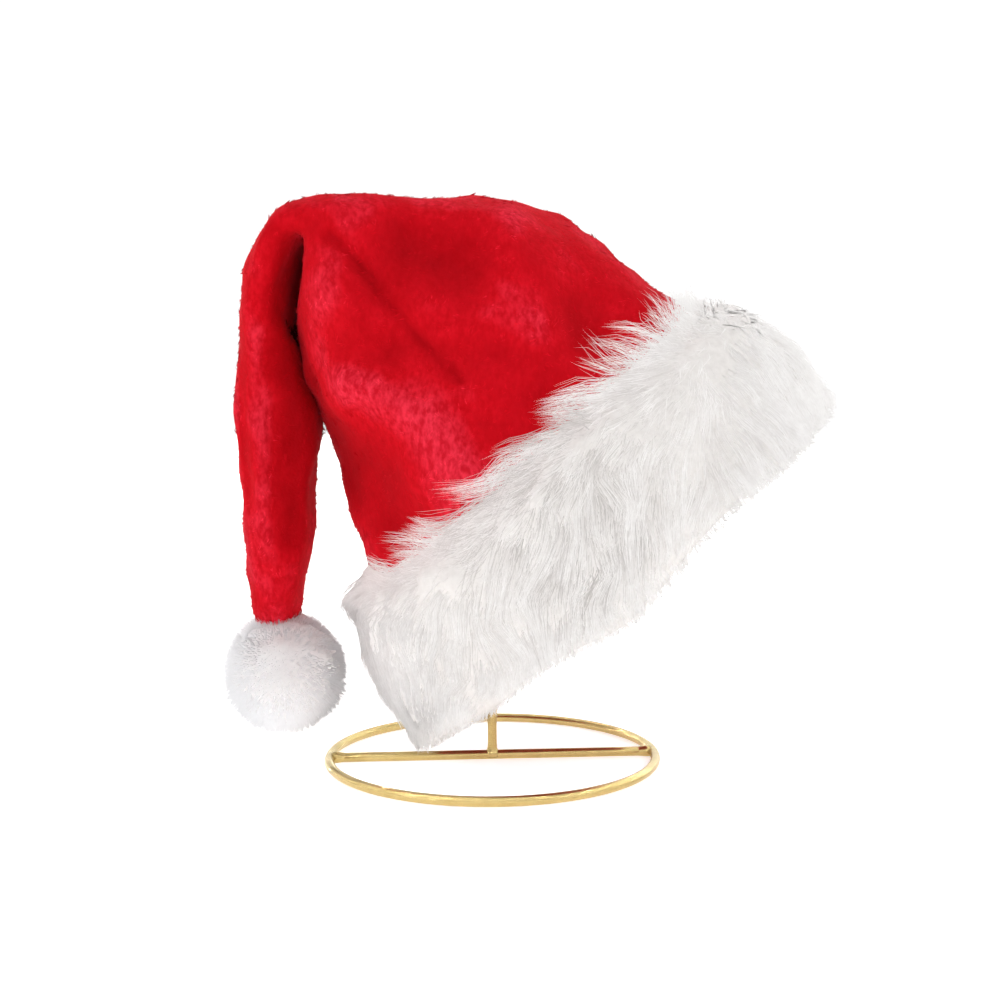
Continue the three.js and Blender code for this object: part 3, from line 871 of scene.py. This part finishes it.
def band_table(mesh):
    """Points of the crown's outside over the band and above it, evened out."""
    points, _ = vertex_arrays(mesh)
    tree = BVHTree.FromPolygons(points.tolist(), [list(p.vertices) for p in mesh.polygons])
    starts = np.empty((ANGLE_STEPS, SHARE_STEPS, 3))
    ways = np.empty((ANGLE_STEPS, 1, 3))
    depths = np.full((ANGLE_STEPS, SHARE_STEPS), START_AWAY)
    for i in range(ANGLE_STEPS):
        angle = FULL_TURN * i / ANGLE_STEPS
        way = math.cos(angle) * rim_way + math.sin(angle) * BACK
        ways[i] = way
        reach = 1 / math.hypot(math.cos(angle) / RIM_REACH[0], math.sin(angle) / RIM_REACH[1])
        narrowing = LEFT_NARROWING * (1 - rightness(angle))
        for j in range(SHARE_STEPS):
            share = TOP_SHARE * j / (SHARE_STEPS - 1)
            cast = max(share, LOWEST_CAST)
            middle = rim_middle + hat_axis * cast * band_width(angle)
            start = middle + way * (reach * (1 - narrowing * cast) + START_AWAY)
            distance = tree.ray_cast(Vector(start), Vector(-way), 2 * START_AWAY)[3]
            if distance is not None:
                depths[i, j] = distance
            starts[i, j] = start - hat_axis * (cast - share) * band_width(angle)
    for _ in range(EVENING_ROUNDS):
        depths = (np.roll(depths, 1, axis=0) + 2 * depths + np.roll(depths, -1, axis=0)) / 4
        ended = np.pad(depths, ((0, 0), (1, 1)), mode="edge")
        depths = (ended[:, :-2] + 2 * depths + ended[:, 2:]) / 4
    return starts - ways * depths[..., None]


def blended(table, angle, share):
    """The table's values between its rows and columns."""
    across = (angle / FULL_TURN) % 1 * ANGLE_STEPS
    upward = np.clip(share / TOP_SHARE, 0, 1) * (SHARE_STEPS - 1)
    i = np.floor(across).astype(int)
    j = np.minimum(np.floor(upward).astype(int), SHARE_STEPS - 2)
    p = (across - i)[..., None]
    q = (upward - j)[..., None]
    after = (i + 1) % ANGLE_STEPS
    i = i % ANGLE_STEPS
    low = table[i, j] * (1 - p) + table[after, j] * p
    high = table[i, j + 1] * (1 - p) + table[after, j + 1] * p
    return low * (1 - q) + high * q


class Band:
    """The crown's outside as the fur's ground."""

    def __init__(self, mesh):
        self.places = band_table(mesh)
        round_way = np.roll(self.places, -1, axis=0) - np.roll(self.places, 1, axis=0)
        up_way = np.gradient(self.places, axis=1)
        self.normals = unit(np.cross(round_way, up_way))
        self.rounds = unit(round_way)
        self.ups = unit(up_way)
        self.round_reach = np.linalg.norm(round_way, axis=-1, keepdims=True) / (2 * FULL_TURN / ANGLE_STEPS)

    def normal(self, angle, share):
        return unit(blended(self.normals, angle, share))

    def up(self, angle, share):
        return unit(blended(self.ups, angle, share))

    def round(self, angle, share):
        return unit(blended(self.rounds, angle, share))

    def hang(self, angle):
        mix = rightness(angle)[..., None]
        return unit(DOWN * (1 - mix) - hat_axis * mix)

    def place(self, angle, share, height):
        ground = blended(self.places, angle, share)
        below = np.maximum(-share, 0) * band_width(angle)
        return ground + self.normal(angle, share) * height[..., None] + self.hang(angle) * below[..., None]

    def outline(self, angle, share):
        thickness = FUR_THICKNESS + FUR_THICKNESS_EXTRA * np.cos(angle)
        thickness = thickness + RIGHT_END_EXTRA * rightness(angle) ** RIGHT_END_POWER
        return np.interp(share, FUR_OUTLINE["share"], FUR_OUTLINE["height"]) * thickness

    def lock(self, angle, share):
        """How far the lock at the left end stands out beyond the rest of the fur."""
        return bulges(share, LEFT_LOCKS) * left_end(angle)

    def flow(self, angle, share, edge, side):
        """The way that the fur lies at a place: down under its weight, away from the whorl, and over the
        cloth along its upper edge, where edge is 1. side is which way round it goes there."""
        place = blended(self.places, angle, share)
        normal = self.normal(angle, share)
        away = place - WHORL
        near = np.exp(-dot(away, away) / (2 * WHORL_REACH**2))[:, None]
        hanging = DOWN * (1 - WHORL_LIFT * near) + unit(away) * near * WHORL_PUSH
        fringe = self.up(angle, share) * FRINGE_WAY["up"] - rim_way * FRINGE_WAY["left"]
        fringe = fringe + self.round(angle, share) * side[:, None] * FRINGE_WAY["round"]
        way = hanging * (1 - edge[:, None]) + fringe * edge[:, None]
        way = unit(way - normal * dot(way, normal)[:, None])
        turn = summed(waves, place, FUR_TURNS) * (1 - FRINGE_CALM * edge)
        way = way * np.cos(turn)[:, None] + np.cross(normal, way) * np.sin(turn)[:, None]
        below = (share < 0)[:, None]
        return np.where(below, self.hang(angle), way)

    def grow(self, angle, share, length, rise, edge, side, steps):
        """Paths of strands from their roots, as (strand, point, 3). edge and side are as in flow."""
        step = length / steps
        path = []
        for k in range(steps + 1):
            top = self.outline(angle, share)
            low = top * BACKING_SHARE * shoulder(share) - ROOT_SINK
            top = top + self.lock(angle, share)
            height = low + (top * rise - low) * smooth(k / steps / RISE_END)
            path.append(self.place(angle, share, np.maximum(height, CLOTH_GAP)))
            way = self.flow(angle, share, edge, side)
            rising = np.where(share < 0, -1, dot(way, self.up(angle, share)))
            turning = np.where(share < 0, 0, dot(way, self.round(angle, share)))
            reach = blended(self.round_reach, angle, share)[:, 0]
            share = share + rising * step / band_width(angle)
            angle = angle + turning * step / reach
        return np.stack(path, axis=1)


def strand_roots(layer, count):
    """Angles, shares, how far the fur lies over the cloth there, and which way round it goes."""
    angle = draw.uniform(*layer["sector"], count) * FULL_TURN
    share = draw.uniform(*layer["shares"], count)
    edge = smooth(between(share + draw.normal(size=count) * FRINGE_MIXING, FRINGE_SHARES))
    turned = angle + SIDE_SHIFT + draw.normal(size=count) * SIDE_MIXING
    return angle, share, edge * (1 - left_end(angle)), np.tanh(SIDE_SHARPNESS * np.sin(turned))


def strand_lengths(layer, angle, share, edge, unevenness):
    """Strands near the hem are shorter, so that they end just below it, and so is the fringe at both ends."""
    to_hem = (np.maximum(share, 0) + hem_drop(angle) + HEM_OVERHANG) * BAND_WIDTH
    length = np.minimum(layer["length"] * MM, to_hem)
    length *= (1 - edge * FRINGE_END_LOSS * np.cos(angle) ** 2) * (1 - edge * layer["edge_loss"])
    uneven = unevenness[0] + unevenness[1] * edge
    return length * draw.uniform(1 - uneven, 1 + uneven, len(share))


def fur_layer(band, layer):
    """One layer of the band's fur, gathered in tufts."""
    steps = layer["steps"]
    tuft_angle, tuft_share, tuft_edge, tuft_side = strand_roots(layer, layer["tufts"])
    tuft_length = strand_lengths(layer, tuft_angle, tuft_share, tuft_edge, TUFT_UNEVEN)
    tuft_rise = draw.uniform(*layer["rise"], layer["tufts"])
    tuft_paths = band.grow(tuft_angle, tuft_share, tuft_length, tuft_rise, tuft_edge, tuft_side, steps)
    tuft_ground = band.place(tuft_angle, tuft_share, np.zeros_like(tuft_share))

    angle, share, edge, side = strand_roots(layer, layer["count"])
    ground = band.place(angle, share, np.zeros_like(share))
    chosen = nearest(ground, tuft_ground)
    away = np.linalg.norm(ground - tuft_ground[chosen], axis=1)
    border = smooth(between(away / np.median(away), LOCK_BORDER))
    length = strand_lengths(layer, angle, share, edge, STRAND_UNEVEN)
    rise = tuft_rise[chosen] * draw.uniform(*RISE_SPREAD, len(share)) * (1 - LOCK_SINK * border)
    paths = band.grow(angle, share, length, rise, edge, side, steps)
    along = np.linspace(0, 1, steps + 1)[None, :, None]
    paths += (tuft_paths[chosen] - paths) * layer["gather"] * along**GATHER_CURVE
    bend = draw.normal(size=(len(share), 2, 3)) * layer["frizz"] * MM
    paths += bend[:, :1] * along + bend[:, 1:] * np.sin(along * math.pi) * BOW
    radii = layer["radius"] * MM * draw.uniform(*RADIUS_SPREAD, (len(share), 1)) * STRAND_TAPER[:steps]

    outward = unit(band.normal(angle, share) + SKYWARD * UP)
    # Painted shade for the strands' missing shadows: darker roots and lock borders where the fur is parted
    # into locks, most at the front and back
    parted = np.sin(angle) ** 2 * smooth(share / LOCK_HEM)
    depth = LOCK_EVEN + (1 - LOCK_EVEN) * parted
    tip_tone = 1 - depth * (1 - layer["shade"] * (1 - LOCK_SHADE * border))
    tip_tone *= draw.uniform(*TONE_SPREAD, len(share))
    root_tone = (1 - depth) * END_TONE
    tones = (root_tone, np.maximum(tip_tone, root_tone))
    return strand_mesh(layer["name"], paths, radii, outward, FUR_SOFTNESS, tones)


def short_fur(name, root, sink, ways, lengths, shaded):
    """Short strands from their roots; ways are those to their middles and to their tips."""
    count = len(root)
    length = SHORT_LENGTH * draw.uniform(*lengths, (count, 1))
    middle, tip = ways
    paths = np.stack([root - sink, root + middle * length * 0.5, root + tip * length], axis=1)
    radii = SHORT_RADIUS * draw.uniform(*RADIUS_SPREAD, (count, 1)) * SHORT_TAPER
    # The roots get the painted shade of END_TONE
    return strand_mesh(name, paths, radii, shaded, FUR_SOFTNESS, (END_TONE, 1))


def lip_mesh(band):
    """Short fur on the underside of the hem."""
    angle = draw.uniform(0, FULL_TURN, LIP["count"])
    depth = draw.uniform(0, 1, LIP["count"])
    share = -hem_drop(angle) * SHORT_SHARE
    root = band.place(angle, share, depth * BACKING_SHARE * band.outline(angle, share))
    outward = band.normal(angle, share)
    hang = band.hang(angle)
    slant = outward * (depth[:, None] - 0.5)
    way = unit(hang + slant * LIP["lean"] + draw.normal(size=root.shape) * LIP["stray"])
    shaded = unit(hang + outward * depth[:, None])
    return short_fur("fur_lip", root, hang * LIP["sink"], (unit(hang + slant), way), LIP["lengths"], shaded)


def inside_mesh(band):
    """Short fur on the inside of the hem, where it hangs below the rim."""
    angle = draw.uniform(0, FULL_TURN, INNER["count"])
    share = -hem_drop(angle) * draw.uniform(0, SHORT_SHARE, INNER["count"])
    root = band.place(angle, share, np.zeros_like(share))
    inward = -band.normal(angle, share)
    way = unit(band.hang(angle) + inward * INNER["lean"] + draw.normal(size=root.shape) * INNER["stray"])
    return short_fur("fur_inside", root, inward * INNER["sink"], (way, way), INNER["lengths"], inward)


def backing_mesh(band):
    """The fur's dense part, as a closed roll round the crown."""
    around = np.linspace(0, FULL_TURN, BACKING_AROUND, endpoint=False)
    rows = []
    for step in np.linspace(0, 1, BACKING_ROWS["outside"]):
        level = step * SHOULDER[1] - (1 - step) * hem_drop(around)
        height = band.outline(around, level) * BACKING_SHARE * shoulder(level)
        lumps = summed(waves, band.place(around, level, height), BACKING_LUMPS)
        rows.append(band.place(around, level, np.maximum(height + lumps, BACKING_LEAST)))
    for step in np.linspace(1, 0, BACKING_ROWS["inside"]):
        level = step * SHOULDER[1] - (1 - step) * hem_drop(around)
        rows.append(band.place(around, level, np.full_like(around, BACKING_GAP)))
    roll = bmesh.new()
    add_tube(roll, np.stack(rows), closed=True)
    mesh = mesh_of("fur_backing", roll)
    # Painted shade of the dense part, as dark as the strands' roots, with less of it at the left end
    tone = DENSE_TIP + (END_TONE - DENSE_TIP) * left_end(around)
    add_values(mesh, "tip", np.tile(tone, len(rows)))
    return mesh


# The pompom
def pompom_pile_mesh():
    """Strands at even places all over the ball, but for the tail."""
    index = np.arange(POMPOM_STRANDS) + 0.5
    height = 1 - 2 * index / POMPOM_STRANDS
    turn = GOLDEN_ANGLE * index
    level = np.sqrt(1 - height**2)
    way = np.stack([level * np.cos(turn), level * np.sin(turn), height], axis=1)
    way = unit(way + draw.normal(size=way.shape) * POMPOM_STRAY)
    way = way[dot(way, unit(TAIL_TIP - POMPOM_CENTRE)) < math.cos(TAIL_SPREAD)]
    tufts = unit(draw.normal(size=(POMPOM_TUFTS, 3)))
    drawn = (tufts[nearest(way, tufts)] - way) * POMPOM_GATHER
    tip_way = unit(way + drawn + draw.normal(size=way.shape) * POMPOM_FRIZZ)
    reach = POMPOM_RADIUS * (draw.uniform(*POMPOM_LENGTHS, len(way)) + summed(waves, way, POMPOM_LUMPS))
    start = (POMPOM_CORE - POMPOM_SINK) * way
    end = reach[:, None] * tip_way
    along = np.linspace(0, 1, len(SHORT_TAPER) + 1)[None, :, None]
    paths = POMPOM_CENTRE + start[:, None] * (1 - along) + end[:, None] * along
    paths += DOWN * POMPOM_SAG * along**2
    radii = POMPOM_STRAND_RADIUS * draw.uniform(*RADIUS_SPREAD, (len(way), 1)) * SHORT_TAPER
    lit = unit(tip_way + POMPOM_SKYWARD * UP)
    # The roots get the painted shade of END_TONE
    return strand_mesh("pompom_pile", paths, radii, lit, POMPOM_SOFTNESS, (END_TONE, 1))


def pompom_core_mesh():
    ball = bmesh.new()
    bmesh.ops.create_icosphere(ball, subdivisions=CORE_DETAIL, radius=1)
    core = mesh_of("pompom_core", ball)
    points, _ = vertex_arrays(core)
    swell = POMPOM_CORE + CORE_SWELL + summed(waves, points, CORE_LUMPS)
    core.vertices.foreach_set("co", (POMPOM_CENTRE + points * swell[:, None]).ravel())
    core.update()
    # Painted shade of the core, as dark as the strands' roots
    add_values(core, "tip", np.full(len(points), DENSE_TIP))
    return core


# The stand
def tube_rows(path, radius, sides=WIRE_SIDES):
    """Loops of points round a path, with one radius for each of its points."""
    radius = np.broadcast_to(radius, len(path))
    along = unit(np.gradient(path, axis=0))
    helper = np.where(np.abs(along[:, 2:]) > STEEP, RIGHT, UP)
    side = unit(np.cross(helper, along))
    lift = np.cross(along, side)
    turn = np.linspace(0, FULL_TURN, sides, endpoint=False)
    ring = np.cos(turn)[None, :, None] * side[:, None] + np.sin(turn)[None, :, None] * lift[:, None]
    return path[:, None] + radius[:, None, None] * ring


def ring_rows():
    """Loops of points round the stand's ring."""
    turn = np.linspace(0, FULL_TURN, RING_STEPS, endpoint=False)
    around = np.stack([np.cos(turn), np.sin(turn), np.zeros_like(turn)], axis=1)
    side_turn = np.linspace(0, FULL_TURN, WIRE_SIDES, endpoint=False)
    rows = (RING_RADIUS + WIRE_RADIUS * np.cos(side_turn))[None, :, None] * around[:, None]
    rows[..., 2] = WIRE_RADIUS + WIRE_RADIUS * np.sin(side_turn)
    return rows[::-1]


def stand_mesh():
    whole = bmesh.new()
    add_tube(whole, ring_rows(), closed=True)

    bar_way = np.array((math.cos(CROSSBAR_TURN), math.sin(CROSSBAR_TURN), 0))
    middle = UP * WIRE_RADIUS
    bar = middle + bar_way * np.linspace(-1, 1, ROD_STEPS)[:, None] * RING_RADIUS
    add_tube(whole, tube_rows(bar, WIRE_RADIUS))
    for end in (-1, 1):
        places = middle + bar_way * end * (RING_RADIUS - END_SOLDER["away"])[:, None]
        solder = tube_rows(places, END_SOLDER["radius"])
        solder[..., 2] = np.maximum(solder[..., 2], 0)  # flat where it stands
        add_tube(whole, solder)

    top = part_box("stand")[1].z - KNOB_RADIUS
    heights = np.concatenate([FOOT_SOLDER["away"], np.linspace(POST_PLAIN, top, ROD_STEPS)])
    radii = np.concatenate([FOOT_SOLDER["radius"], np.full(ROD_STEPS, WIRE_RADIUS)])
    add_tube(whole, tube_rows(UP * heights[:, None], radii))
    rise = np.linspace(-math.pi / 2, math.pi / 2, KNOB_STEPS)[1:-1]
    knob = UP * (top + KNOB_RADIUS * np.sin(rise))[:, None]
    add_tube(whole, tube_rows(knob, KNOB_RADIUS * np.cos(rise), KNOB_SIDES))
    bmesh.ops.recalc_face_normals(whole, faces=whole.faces[:])
    return mesh_of("stand_wire", whole)


# Camera, light and floor
def make_camera():
    data = bpy.data.cameras.new("camera")
    data.lens = CAMERA_LENS
    data.sensor_width = CAMERA_SENSOR
    data.clip_start = CAMERA_NEAR
    made = bpy.data.objects.new("camera", data)
    aimed = (CAMERA_AIM - CAMERA_PLACE).to_track_quat("-Z", "Y").to_matrix().to_4x4()
    rolled = aimed @ Matrix.Rotation(CAMERA_ROLL, 4, "Z")
    made.matrix_world = Matrix.Translation(CAMERA_PLACE) @ rolled
    bpy.context.scene.collection.objects.link(made)
    bpy.context.scene.camera = made


def make_world():
    """White surroundings, which look brighter than they light the object."""
    world = bpy.data.worlds.new("studio")
    world.use_nodes = True
    path = add_node(world, "LightPath", {})
    rays = {0: path.outputs["Is Camera Ray"], 1: path.outputs["Is Glossy Ray"]}
    seen = add_node(world, "Math", rays, operation="MAXIMUM").outputs["Value"]
    strength = range_node(world, seen, end=(AMBIENT, SURROUND))
    background = world.node_tree.nodes["Background"]
    fill_sockets(world, background, {"Color": (*WHITE, 1), "Strength": strength})
    bpy.context.scene.world = world


def make_studio():
    scene = bpy.context.scene
    scene.view_settings.view_transform = "Standard"
    scene.cycles.diffuse_bounces = LIGHT_BOUNCES
    make_world()
    for sun in SUNS:
        data = bpy.data.lights.new(sun.name, "SUN")
        data.energy = sun.strength
        data.angle = math.radians(sun.breadth)
        data.cycles.use_multiple_importance_sampling = False
        light = bpy.data.objects.new(sun.name, data)
        light.rotation_euler = (-Vector(sun.place)).to_track_quat("-Z", "Y").to_euler()
        scene.collection.objects.link(light)
    disc = bmesh.new()
    bmesh.ops.create_circle(disc, cap_ends=True, segments=FLOOR_SIDES, radius=FLOOR_RADIUS)
    mesh = mesh_of("floor", disc)
    mesh.materials.append(floor_material())
    floor = bpy.data.objects.new("floor", mesh)
    scene.collection.objects.link(floor)


make_camera()
make_studio()

plush = plush_material()
lining = lining_material()
fur = fur_material("fur_white", FUR_WHITE)
pompom_white = fur_material("pompom_white", POMPOM_WHITE)
gold = gold_material()

# The pieces are made in this order, since each draws on the same random numbers
crown_skin = crown_mesh()
band = Band(crown_skin)
roots, normals, relief_shade = pile_roots(crown_skin)
crown = piece("crown_cloth", crown_skin, [plush, lining], "crown")
for name, part in (("crown_pile_front", roots[:, 1] < 0), ("crown_pile_back", roots[:, 1] >= 0)):
    mesh = pile_mesh(name, roots[part], normals[part], relief_shade[part])
    fibres(name, mesh, plush, "crown")

backing = piece("fur_backing", backing_mesh(band), [fur], "fur_band")
hair = [fibres("fur_lip", lip_mesh(band), fur, "fur_band")]
for layer in FUR_LAYERS:
    hair.append(fibres(layer["name"], fur_layer(band, layer), fur, "fur_band"))

core = piece("pompom_core", pompom_core_mesh(), [pompom_white], "pompom")
fibres("pompom_pile", pompom_pile_mesh(), pompom_white, "pompom")
hair.append(fibres("fur_inside", inside_mesh(band), fur, "fur_band"))
piece("stand_wire", stand_mesh(), [gold], "stand")
